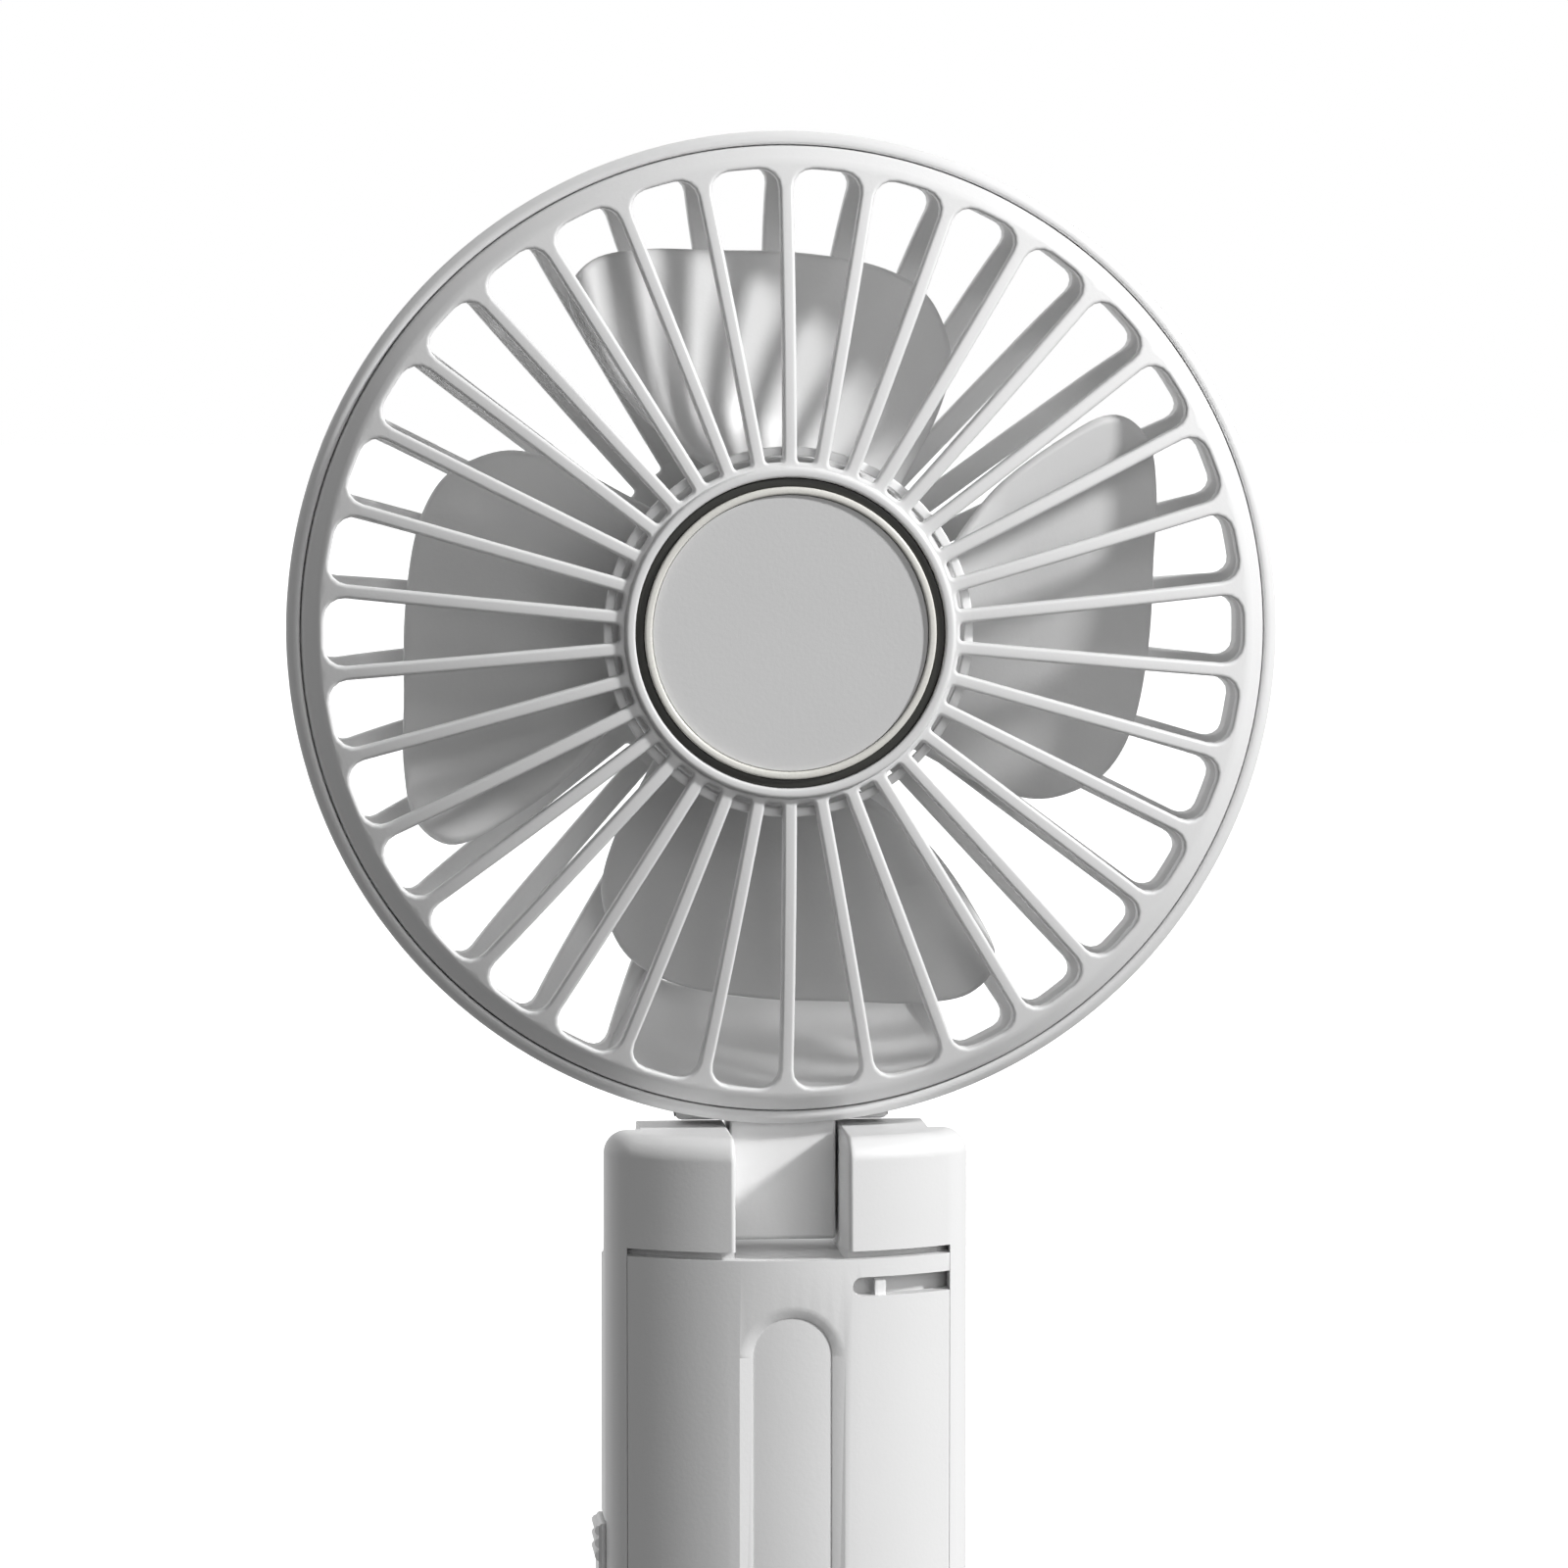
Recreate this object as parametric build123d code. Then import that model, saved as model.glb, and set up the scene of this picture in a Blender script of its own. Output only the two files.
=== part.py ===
from build123d import *
import math
import os

# Handheld folding fan: a flat-sided oval handle, a caged fan head that folds backwards
# on a hinge at the handle's top, and a four-bladed impeller on an outrunner motor.
# Millimetres.  Origin: centre of the handle's flat bottom, +Z up, the air leaves towards -Y.

# Handle
HANDLE_W = 36.3          # across the flat sides
HANDLE_D = 24.0          # between the crowns of the front and the back
FACE_R = 28.1            # radius of the front and back faces, seen from above
SIDE_R = 5.5             # rounding between faces and sides
WALL = 1.8
CAP_T = 2.2              # thickness of the base cap's plate
LOBE_TOP = 110.0         # top of the two hinge lobes
LOBE_FOOT = 98.8         # underside of the lobes over the front cover
LOBE_ROUND = 2.3         # rounding of the lobes' top edges
SLOT_EDGE = 0.4          # rounding of the slot's front edges
DECK_TOP = 97.4          # floor of the slot between the lobes
DECK_FOOT = 96.6
SLOT_HALF = 5.6          # half width of the slot between the lobes

# Front cover
COVER_HALF = 16.05
COVER_TOP = 98.0
COVER_FOOT = 3.4
SEAM = 0.05
RECESS_W = 7.9           # floor of the pill-shaped recess
RECESS_TOP = 92.3
RECESS_FOOT = 27.0
RECESS_DEPTH = 0.6
RECESS_SLOPE = (1.3, 0.5)  # width and depth of the slope round the recess
STRAP_Z = 95.25          # strap slot in the cover's upper right corner
STRAP_H = 1.9
STRAP_X = 6.0
STRAP_WALL_FOOT = 93.2   # wall behind the strap slot
STRAP_WALL_GAP = 0.8
STRAP_WALL_T = 1.2
BAR_X = (8.3, 9.4)       # bar across the strap slot
BAR_FRONT = 0.55
BAR_BACK = 1.55
BUTTON_Z = 56.0
BUTTON_R = 3.2
LIGHT_R = 0.7
LIGHT_Z = (44.0, 41.0, 38.0, 35.0)

# Fasteners of the handle
COVER_SCREW_X = 11.5
COVER_SCREW_Z = (17.0, 88.0)
BASE_SCREW_TOP = 10.5
BASE_SCREW_X = 13.0

# Side slider
PAD_TOP = 70.65
PAD_FOOT = 52.35
PAD_HALF = 3.5           # half width of the thumb pad
SLIDE_TRAVEL = 4.0
RIDGE_PITCH = 1.29

# Hinge
HINGE_Y = 5.2
HINGE_Z = 103.8
PIN_R = 1.5
PIN_PLAY = 0.06
TONGUE_HALF = 5.3
TONGUE_FOOT = 98.5
KNUCKLE_R = 5.0
SEAT_X = 14.4            # flats beside the hinge, under the caps
SEAT_Y = -1.9
SEAT_FOOT = 97.0
CAP_R = 5.0
NECK_HALF = 10.8
NECK_FOOT = 110.35

# Fan head, all radii from the fan's axis, depths along Y
HEAD_Z = 159.8
RIM_R = 49.45
GRILLE_R = 48.0
SLOT_R = 45.7            # outer end of the front slots
HUB_R = 16.5
RIBS = 34
RIB_W = 1.35
REAR_RIB_W = 2.2
REAR_SLOT_R = 46.2
REAR_PLATE_R = 19.0
PAD_SLOTS = 2            # slots closed on each side of the neck by the rear pad
PAD_R = 38.0
PITCH = 360 / RIBS

# Impeller
BLADES = 4
IMPELLER_HUB_R = 17.3
BLADE_T = 1.3

# Motor
SHAFT_R = 1.0
BUSH_R = 2.0
TUBE_R = 3.2
TEETH = 6
MAGNET_R = 11.7
CAN_R = 12.5


# ---------------------------------------------------------------- helpers

def handle_face(inset=0.0):
    """Cross-section of the handle, shrunk all round by inset."""
    front = Pos(0, FACE_R - HANDLE_D / 2) * Circle(FACE_R - inset)
    back = Pos(0, HANDLE_D / 2 - FACE_R) * Circle(FACE_R - inset)
    sides = Rectangle(HANDLE_W - 2 * inset, HANDLE_D * 2)
    face = front & back & sides
    return fillet(face.vertices(), SIDE_R - inset)


def handle_prism(z0, z1, inset=0.0):
    return Pos(0, 0, z0) * extrude(handle_face(inset), z1 - z0)


def block(x0, x1, y0, y1, z0, z1):
    """Box given by its faces."""
    middle = Pos((x0 + x1) / 2, (y0 + y1) / 2, (z0 + z1) / 2)
    return middle * Box(x1 - x0, y1 - y0, z1 - z0)


def rod_x(radius, x0, x1, y, z):
    """Cylinder along X."""
    return Pos((x0 + x1) / 2, y, z) * Rot(0, 90, 0) * Cylinder(radius, x1 - x0)


def rod_y(radius, y0, y1, x, z):
    """Cylinder along Y."""
    return Pos(x, (y0 + y1) / 2, z) * Rot(90, 0, 0) * Cylinder(radius, y1 - y0)


def rod_z(radius, z0, z1, x, y):
    """Cylinder along Z."""
    return Pos(x, y, (z0 + z1) / 2) * Cylinder(radius, z1 - z0)


def prism_y(face, y0, y1):
    """Face drawn in X and Z, pushed along Y."""
    return Pos(0, y1, 0) * extrude(Plane.XZ * face, amount=y1 - y0)


def prism_x(points, half):
    """Outline of (y, z) points, pushed to both sides along X."""
    outline = make_face(Polyline(*[(0, y, z) for y, z in points], close=True))
    return extrude(outline, amount=half, both=True)


def turned(*points):
    """Solid of revolution about the fan's axis from (radius, y) points."""
    outline = make_face(Polyline(*points, close=True))
    return Pos(0, 0, HEAD_Z) * revolve(outline, Axis.Y)


def ring(r_in, r_out, y0, y1):
    return turned((r_in, y0), (r_out, y0), (r_out, y1), (r_in, y1))


def disc(radius, y0, y1):
    return ring(0, radius, y0, y1)


def polar(radius, degrees):
    """Point at a clockwise angle from the top, as X and Z about the fan's axis."""
    angle = math.radians(degrees)
    return (radius * math.sin(angle), radius * math.cos(angle))


def around_axis(shape, degrees):
    """Turn a shape clockwise about the fan's axis, seen from the front."""
    return Pos(0, 0, HEAD_Z) * Rot(0, degrees, 0) * Pos(0, 0, -HEAD_Z) * shape


# ---------------------------------------------------------------- handle

def front_skin(half, z0, z1, outside, inside):
    """Piece of the handle's front wall between two depths below its surface."""
    skin = handle_prism(z0, z1, outside) - handle_prism(z0, z1, inside)
    return skin & block(-half, half, -HANDLE_D, 0, z0, z1)


def cover_screw_places():
    return [(side * COVER_SCREW_X, z) for side in (-1, 1) for z in COVER_SCREW_Z]


def slider_cuts():
    """Shallow pocket for the thumb pad and the slot for its stem, in the left side."""
    side = -HANDLE_W / 2
    pocket = block(side - 1, side + 0.6, -3.75, 3.75, PAD_FOOT - SLIDE_TRAVEL - 0.3, PAD_TOP + 0.3)
    slot = block(side - 1, side + WALL + 0.2, -1.6, 1.6, PAD_FOOT + 1.2, PAD_FOOT + 11.8)
    return pocket + slot


def hinge_cuts():
    """Rounded rear top, pin bore, washer seats and the flats for the caps."""
    corner = block(-HANDLE_W, HANDLE_W, HINGE_Y, HANDLE_D, HINGE_Z, LOBE_TOP + 1)
    round_top = rod_x(LOBE_TOP - HINGE_Z, -HANDLE_W, HANDLE_W, HINGE_Y, HINGE_Z)
    cuts = corner - round_top
    cuts += rod_x(PIN_R, -14.5, 14.5, HINGE_Y, HINGE_Z)
    for side in (-1, 1):
        inner = sorted((side * SLOT_HALF, side * (SLOT_HALF + 0.3)))
        outer = sorted((side * SEAT_X, side * HANDLE_W))
        cuts += rod_x(3.7, *inner, HINGE_Y, HINGE_Z)
        flat = block(*outer, SEAT_Y, HANDLE_D, SEAT_FOOT, LOBE_TOP + 1)
        cuts += fillet(flat.edges().filter_by(Axis.X).group_by(Axis.Y)[0].group_by(Axis.Z)[0], 3.0)
    return cuts


def lobes():
    """The two lobes on either side of the tongue's slot, rounded on top and along the slot."""
    pair = handle_prism(LOBE_FOOT, LOBE_TOP)
    pair = fillet(pair.edges().group_by(Axis.Z)[-1], LOBE_ROUND)
    pair -= block(-SLOT_HALF, SLOT_HALF, -HANDLE_D, HANDLE_D, LOBE_FOOT - 1, LOBE_TOP + 1)
    slot_edges = []
    for edge in pair.edges():
        beside_slot = abs(abs(edge.center().X) - SLOT_HALF) < 0.01
        if beside_slot and edge.center().Y < -9 and edge.bounding_box().size.Z > 1.5:
            slot_edges.append(edge)
    return fillet(slot_edges, SLOT_EDGE)


def strap_wall():
    """Curved wall that hangs from the deck close behind the strap slot."""
    centre_y = FACE_R - HANDLE_D / 2
    front_r = FACE_R - WALL - STRAP_WALL_GAP
    front = rod_z(front_r, STRAP_WALL_FOOT, DECK_FOOT, 0, centre_y)
    back = rod_z(front_r - STRAP_WALL_T, STRAP_WALL_FOOT, DECK_FOOT, 0, centre_y)
    span = block(STRAP_X - 1.4, HANDLE_W / 2 - WALL + 0.2, -HANDLE_D, 0, STRAP_WALL_FOOT, DECK_FOOT)
    return (front - back) & span


def strap_bar():
    """Bar across the strap slot that the strap's loop goes round."""
    foot, top = STRAP_Z - STRAP_H / 2 - 0.1, STRAP_Z + STRAP_H / 2 + 0.1
    layer = handle_prism(foot, top, BAR_FRONT) - handle_prism(foot, top, BAR_BACK)
    return layer & block(*BAR_X, -HANDLE_D, 0, foot, top)


def handle_frame():
    body = handle_prism(CAP_T, LOBE_FOOT)
    body -= block(-SLOT_HALF, SLOT_HALF, -HANDLE_D, HANDLE_D, DECK_TOP, LOBE_FOOT + 1)
    body += lobes()
    body -= handle_prism(CAP_T, DECK_FOOT, WALL)
    body -= front_skin(COVER_HALF + SEAM, COVER_FOOT - SEAM, LOBE_FOOT, -0.5, WALL)
    body -= hinge_cuts()
    body -= slider_cuts()
    body -= block(-4.7, 4.7, 5, HANDLE_D, 11.2, 14.8)
    body += strap_wall()
    for x, z in cover_screw_places():
        body += rod_y(1.9, 4.2, 8.2, x, z)
        body -= rod_y(0.9, 4.0, 8.5, x, z)
        body -= rod_y(1.7, 7.6, HANDLE_D, x, z)
    for side in (-1, 1):
        x = side * BASE_SCREW_X
        boss = rod_z(2.2, 6.4, BASE_SCREW_TOP + 1.5, x, 0)
        boss += block(*sorted((x, side * 16.8)), -1.2, 1.2, 6.4, BASE_SCREW_TOP + 1.5)
        body += boss - rod_z(0.85, 6.0, BASE_SCREW_TOP + 0.5, x, 0)
    return body


def recess_rim(cover):
    """Edges where the recess meets the cover's outer surface."""
    rim = []
    for edge in cover.edges():
        middle, centre = edge @ 0.5, edge.center()
        depth = FACE_R - math.hypot(middle.X, middle.Y - FACE_R + HANDLE_D / 2)
        beside = abs(centre.X) < RECESS_W and RECESS_FOOT - 0.1 < centre.Z < RECESS_TOP + 0.1
        if beside and abs(depth) < 0.05:
            rim.append(edge)
    return rim


def front_cover():
    cover = front_skin(COVER_HALF, COVER_FOOT, COVER_TOP, 0, WALL)
    height = RECESS_TOP - RECESS_FOOT
    pill = Pos(0, (RECESS_TOP + RECESS_FOOT) / 2) * Rot(0, 0, 90) * SlotOverall(height, RECESS_W)
    layer = handle_prism(COVER_FOOT, COVER_TOP, -0.5)
    layer -= handle_prism(COVER_FOOT, COVER_TOP, RECESS_DEPTH)
    cover -= layer & prism_y(pill, -HANDLE_D, 0)
    cover = chamfer(recess_rim(cover), *RECESS_SLOPE)
    slot_r = STRAP_H / 2
    strap = block(STRAP_X + slot_r, HANDLE_W, -HANDLE_D, 0, STRAP_Z - slot_r, STRAP_Z + slot_r)
    strap += rod_y(slot_r, -HANDLE_D, 0, STRAP_X + slot_r, STRAP_Z)
    cover -= strap
    cover += strap_bar()
    cover -= rod_y(BUTTON_R + 0.3, -HANDLE_D, 0, 0, BUTTON_Z)
    for z in LIGHT_Z:
        cover -= rod_y(LIGHT_R, -HANDLE_D, 0, 0, z)
    for z in (20.0, 84.0):
        cover += rod_y(1.5, -10.4, -4.2, 0, z)
    for x, z in cover_screw_places():
        cover += rod_y(1.9, -7.9, 4.0, x, z) - rod_y(0.8, -2.5, 4.1, x, z)
    return cover


def base_cap():
    plate = handle_prism(0, CAP_T)
    plate = fillet(plate.edges().group_by(Axis.Z)[0], 0.8)
    plug = handle_prism(CAP_T, 6.0, WALL + 0.15) - handle_prism(CAP_T, 6.0, WALL + 1.4)
    cap = plate + plug
    for side in (-1, 1):
        x = side * BASE_SCREW_X
        cap += rod_z(2.2, CAP_T, 6.2, x, 0)
        cap -= rod_z(0.9, 0, 6.5, x, 0)
        cap -= rod_z(1.8, 0, 1.6, x, 0)
    return cap


def base_screws():
    screws = []
    for side in (-1, 1):
        x = side * BASE_SCREW_X
        screw = rod_z(1.7, 0.5, 1.6, x, 0) + rod_z(0.85, 1.6, BASE_SCREW_TOP, x, 0)
        screws.append(screw - block(x - 1.2, x + 1.2, -0.2, 0.2, 0.4, 1.0))
    return Compound(children=screws)


def cover_screws():
    screws = []
    for x, z in cover_screw_places():
        screw = rod_y(1.6, 7.6, 8.8, x, z) + rod_y(0.8, -2.0, 7.6, x, z)
        slots = block(x - 1.1, x + 1.1, 8.3, 8.9, z - 0.2, z + 0.2)
        slots += block(x - 0.2, x + 0.2, 8.3, 8.9, z - 1.1, z + 1.1)
        screws.append(screw - slots)
    return Compound(children=screws)


def battery_cell():
    cell = block(-12.0, 12.0, -1.4, 7.3, 22.0, 76.0)
    return fillet(cell.edges().filter_by(Axis.Z), 1.5)


def control_board():
    board = block(-8.5, 8.5, -4.2, -3.0, 10.0, 92.0)
    return chamfer(board.edges().filter_by(Axis.Y), 1.0)


def tactile_switch():
    case = block(-2.6, 2.6, -6.2, -4.2, BUTTON_Z - 2.6, BUTTON_Z + 2.6)
    return case + rod_y(1.2, -6.9, -6.2, 0, BUTTON_Z)


def slide_switch():
    return block(-12.1, -8.6, -5.5, -1.8, PAD_FOOT + 0.5, PAD_FOOT + 14.5)


def usb_port():
    port = block(-4.5, 4.5, 4.0, 11.4, 11.4, 14.6)
    port = fillet(port.edges().filter_by(Axis.Y), 1.2)
    mouth = block(-4.1, 4.1, 5.2, 12.0, 11.8, 14.2)
    mouth = fillet(mouth.edges().filter_by(Axis.Y), 0.9)
    return port - mouth + block(-3.3, 3.3, 5.0, 10.6, 12.65, 13.35)


def light_windows():
    lens = [rod_y(LIGHT_R, -11.45, -9.9, 0, z) for z in LIGHT_Z]
    return Compound(children=lens)


def power_button():
    button = rod_y(BUTTON_R, -11.9, -9.3, 0, BUTTON_Z)
    button = fillet(button.edges().group_by(Axis.Y)[0], 0.4)
    button += rod_y(3.9, -9.6, -8.9, 0, BUTTON_Z)
    return button + rod_y(1.5, -8.9, -8.0, 0, BUTTON_Z)


def side_slider():
    side = -HANDLE_W / 2
    pad = block(side - 0.6, side + 0.4, -PAD_HALF, PAD_HALF, PAD_FOOT, PAD_TOP)
    pad = chamfer(pad.faces().sort_by(Axis.X)[0].edges(), 0.3)
    for ridge in range(3):
        z = PAD_TOP - 0.75 - ridge * RIDGE_PITCH
        bar = Pos(side - 0.5, 0, z) * Rot(90, 0, 0) * Cylinder(0.5, 2 * PAD_HALF - 0.6)
        pad += bar
    stem = block(side + 0.3, -16.0, -1.3, 1.3, PAD_FOOT + 5.5, PAD_FOOT + 11.5)
    plate = block(-16.05, -15.0, -3.2, 3.2, PAD_FOOT + 3.5, PAD_FOOT + 15.5)
    arm = block(-15.2, -12.4, -4.2, -2.4, PAD_FOOT + 6.5, PAD_FOOT + 10.5)
    return pad + stem + plate + arm


# ---------------------------------------------------------------- hinge

def hinge_pin():
    pin = rod_x(PIN_R, -12.4, 12.4, HINGE_Y, HINGE_Z)
    return chamfer(pin.edges().filter_by(GeomType.CIRCLE), 0.3)


def hinge_caps():
    """Round caps over the pin's ends, each with a plug in the pin's bore."""
    caps = []
    for side in (-1, 1):
        disc_span = sorted((side * SEAT_X, side * (SEAT_X + 2.4)))
        cap = rod_x(CAP_R, *disc_span, HINGE_Y, HINGE_Z)
        outer = cap.faces().sort_by(Axis.X)[-1 if side > 0 else 0]
        cap = fillet(outer.edges(), 0.6)
        plug_span = sorted((side * 12.5, side * (SEAT_X + 0.2)))
        caps.append(cap + rod_x(PIN_R, *plug_span, HINGE_Y, HINGE_Z))
    return Compound(children=caps)


def hinge_washers():
    washers = []
    for side in (-1, 1):
        span = sorted((side * 5.36, side * 5.9))
        washer = rod_x(3.6, *span, HINGE_Y, HINGE_Z) - rod_x(PIN_R, *span, HINGE_Y, HINGE_Z)
        washers.append(washer)
    return Compound(children=washers)


# ---------------------------------------------------------------- fan head

def slot_cutter(rib_w, r_in, r_out, corner, y0, y1):
    """One opening between two ribs, centred on the top of the head."""
    half = math.radians(PITCH / 2)
    far = r_out + 3

    def edge(r, side):
        along = math.sqrt(r * r - rib_w * rib_w / 4)
        x = along * math.sin(half) - rib_w / 2 * math.cos(half)
        return (side * x, along * math.cos(half) + rib_w / 2 * math.sin(half))

    near = r_in - 1
    wedge = make_face(Polyline(edge(near, -1), edge(far, -1), edge(far, 1), edge(near, 1), close=True))
    face = (wedge & Circle(r_out)) - Circle(r_in)
    corners = face.vertices().sort_by(Axis.Y)
    face = fillet(corners[-2:], corner)
    face = fillet(face.vertices().sort_by(Axis.Y)[:2], 0.4)
    return Pos(0, 0, HEAD_Z) * prism_y(face, y0, y1)


def slot_ring(cutter, places):
    return [around_axis(cutter, PITCH * (place + 0.5)) for place in places]


def dome(r0, y0, r1, y1, r2, y2):
    return ThreePointArc((r0, y0), (r1, y1), (r2, y2))


def front_grille():
    outside = dome(HUB_R, -8.9, 32.0, -7.3, 45.9, -3.9)
    inside = dome(45.2, -1.8, 31.6, -5.1, HUB_R, -6.7)
    rim = Polyline((45.9, -3.9), (47.7, -2.6), (GRILLE_R, -2.1), (GRILLE_R, 0.8), (46.9, 0.8),
                   (46.6, -1.0), (45.2, -1.8))
    hub = Polyline((HUB_R, -6.7), (HUB_R, -5.6), (0, -5.6), (0, -7.0), (15.3, -7.0),
                   (15.3, -9.3), (15.55, -9.6), (16.15, -9.6), (HUB_R, -8.9))
    grille = Pos(0, 0, HEAD_Z) * revolve(make_face(outside + rim + inside + hub), Axis.Y)
    cutter = slot_cutter(RIB_W, HUB_R + 0.1, SLOT_R, 1.9, -12, 0)
    grille -= slot_ring(cutter, range(RIBS))
    return grille + ring(17.3, 18.3, -6.9, -6.0)


def accent_ring():
    return turned((14.4, -9.0), (14.6, -9.2), (15.1, -9.2), (15.25, -9.0), (15.25, -7.0), (14.4, -7.0))


def centre_bezel():
    return turned((13.65, -9.3), (13.85, -9.7), (14.2, -9.7), (14.4, -9.4), (14.4, -7.0),
                  (12.6, -7.0), (12.6, -8.2), (13.65, -8.2))


def centre_disc():
    return turned((0, -9.3), (13.5, -9.3), (13.6, -9.2), (13.6, -8.25), (0, -8.25))


def bowl_inside():
    """Solid that fills the hollow of the rear housing."""
    wall = dome(47.2, 1.0, 43.9, 8.2, 37.5, 12.4) + dome(37.5, 12.4, 29.0, 15.5, 19.6, 18.2)
    rest = Polyline((19.6, 18.2), (0, 18.2), (0, -20), (48.1, -20), (48.1, 1.0), (47.2, 1.0))
    return Pos(0, 0, HEAD_Z) * revolve(make_face(wall + rest), Axis.Y)


def bowl_outside():
    wall = dome(RIM_R, 0.4, 45.7, 8.7, 38.3, 14.0) + dome(38.3, 14.0, 29.5, 17.2, 20.0, 20.0)
    rest = Polyline((20.0, 20.0), (0, 20.0), (0, -1.9), (48.6, -1.9), (RIM_R, -1.3), (RIM_R, 0.4))
    return Pos(0, 0, HEAD_Z) * revolve(make_face(wall + rest), Axis.Y)


def neck():
    """Wide block below the head and the tongue that goes between the lobes."""
    block_side = [(1.6, NECK_FOOT), (10.2, NECK_FOOT), (13.2, 115.5), (14.4, 123.0), (8.0, 123.0),
                  (1.6, 113.0)]
    wide = prism_x(block_side, NECK_HALF)
    wide = fillet(wide.edges().filter_by(Axis.Z, reverse=True).group_by(Axis.Y)[-1], 1.5)
    face = HINGE_Y - KNUCKLE_R
    side = [(face, 110.6), (face, TONGUE_FOOT + 0.4), (face + 0.4, TONGUE_FOOT), (HINGE_Y, TONGUE_FOOT),
            (HINGE_Y, HINGE_Z), (HINGE_Y + KNUCKLE_R, HINGE_Z), (HINGE_Y + KNUCKLE_R, 112.5),
            (1.6, 112.5), (1.6, 110.6)]
    tongue = prism_x(side, TONGUE_HALF)
    tongue += rod_x(KNUCKLE_R, -TONGUE_HALF, TONGUE_HALF, HINGE_Y, HINGE_Z)
    return wide + tongue


def rear_housing():
    housing = bowl_outside() + neck() - bowl_inside()
    turns = {place: (place + RIBS // 2) % RIBS for place in range(RIBS)}
    open_slots = [place for place in turns if PAD_SLOTS <= turns[place] < RIBS - PAD_SLOTS]
    pad_slots = [place for place in turns if place not in open_slots]
    housing -= slot_ring(slot_cutter(REAR_RIB_W, REAR_PLATE_R, REAR_SLOT_R, 1.5, 1.2, 22), open_slots)
    housing -= slot_ring(slot_cutter(REAR_RIB_W, REAR_PLATE_R, PAD_R, 1.5, 1.2, 22), pad_slots)
    housing -= rod_x(PIN_R + PIN_PLAY, -6, 6, HINGE_Y, HINGE_Z)
    return housing - motor_screw_cuts()


# ---------------------------------------------------------------- impeller

def leading_angle(r):
    """Clockwise angle of a blade's forward edge."""
    return 56 + 0.142 * max(0, 26 - r) ** 2


def trailing_angle(r):
    """Clockwise angle of a blade's rear edge."""
    return 134 - 0.0624 * max(0, r - 19.5) ** 2


def blade_point(r, along):
    """Point of the twisted blade surface; along runs from the forward to the rear edge."""
    x, z = polar(r, leading_angle(r) + along * (trailing_angle(r) - leading_angle(r)))
    out = (r - IMPELLER_HUB_R) / 24
    forward = -2.6 + 2.2 * out
    back = 10.4 - 2.2 * out
    camber = 0.10 * math.sin(math.pi * along)
    return (x, forward + (back - forward) * (along + camber), HEAD_Z + z)


def blade_outline():
    """Front view of a blade: rounded corners, highest at the forward edge."""
    shape = [(16.4, 69), (20.5, 60.8), (26, 56.1), (33, 55.6), (39.2, 57.0), (41.6, 62.5),
             (40.6, 70), (38.8, 80), (38.1, 92), (38.1, 104), (37.5, 112.3), (35.6, 118),
             (31.9, 123.8), (26.5, 127.8), (20, 131.2), (16.4, 134)]
    edge = Spline(*[polar(r, a) for r, a in shape])
    root = Line(edge @ 1, edge @ 0)
    return make_face(edge + root)


def blade():
    rows = [16.2 + 4.4 * step for step in range(7)]
    steps = [-0.06 + 0.14 * step for step in range(9)]
    grid = [[blade_point(r, along) for along in steps] for r in rows]
    sheet = Face.make_surface_from_array_of_points(grid)
    slab = thicken(sheet, amount=BLADE_T / 2, both=True)
    return slab & (Pos(0, 0, HEAD_Z) * prism_y(blade_outline(), -12, 20))


def impeller():
    hub = turned((0, -4.2), (16.3, -4.2), (IMPELLER_HUB_R, -3.2), (IMPELLER_HUB_R, 12.0),
                 (15.8, 12.0), (15.8, -2.4), (14.0, -2.4), (14.0, 8.0), (CAN_R, 8.0),
                 (CAN_R, -2.4), (0, -2.4))
    one = blade()
    for turn in range(BLADES):
        hub += around_axis(one, turn * 360 / BLADES)
    return hub


# ---------------------------------------------------------------- motor

def rotor_can():
    return turned((SHAFT_R, -2.3), (CAN_R - 0.8, -2.3), (CAN_R, -1.7), (CAN_R, 11.4), (11.75, 11.4),
                  (11.75, -1.5), (2.6, -1.5), (2.6, -0.2), (SHAFT_R, -0.2))


def magnet_ring():
    return ring(10.6, MAGNET_R, 1.2, 10.6)


def motor_shaft():
    shaft = disc(SHAFT_R, -2.2, 17.2)
    return chamfer(shaft.edges().filter_by(GeomType.CIRCLE), 0.2)


def shaft_clip():
    clip = ring(SHAFT_R, 1.7, 16.5, 16.9)
    return clip - block(-0.5, 0.5, 16, 17.5, HEAD_Z - 3, HEAD_Z - 0.8)


def motor_screw_cuts():
    """Holes for the three motor screws, through the tube's flange and into the rear plate."""
    return [rod_y(0.7, 16.0, 19.5, x, HEAD_Z + z) for x, z in motor_screw_places()]


def motor_screw_places():
    return [polar(6.0, turn) for turn in (0, 120, 240)]


def bearing_tube():
    tube = turned((BUSH_R, 0.8), (TUBE_R, 0.8), (TUBE_R, 16.8), (8.0, 16.8), (8.0, 18.2),
                  (BUSH_R, 18.2))
    return tube - motor_screw_cuts()


def bearing_bushes():
    front = ring(SHAFT_R + 0.05, BUSH_R, 1.0, 4.0)
    back = ring(SHAFT_R + 0.05, BUSH_R, 13.2, 16.2)
    return Compound(children=[front, back])


def tooth_blank(half_w, r0, r1, y0, y1):
    return block(-half_w, half_w, y0, y1, HEAD_Z + r0, HEAD_Z + r1)


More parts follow.
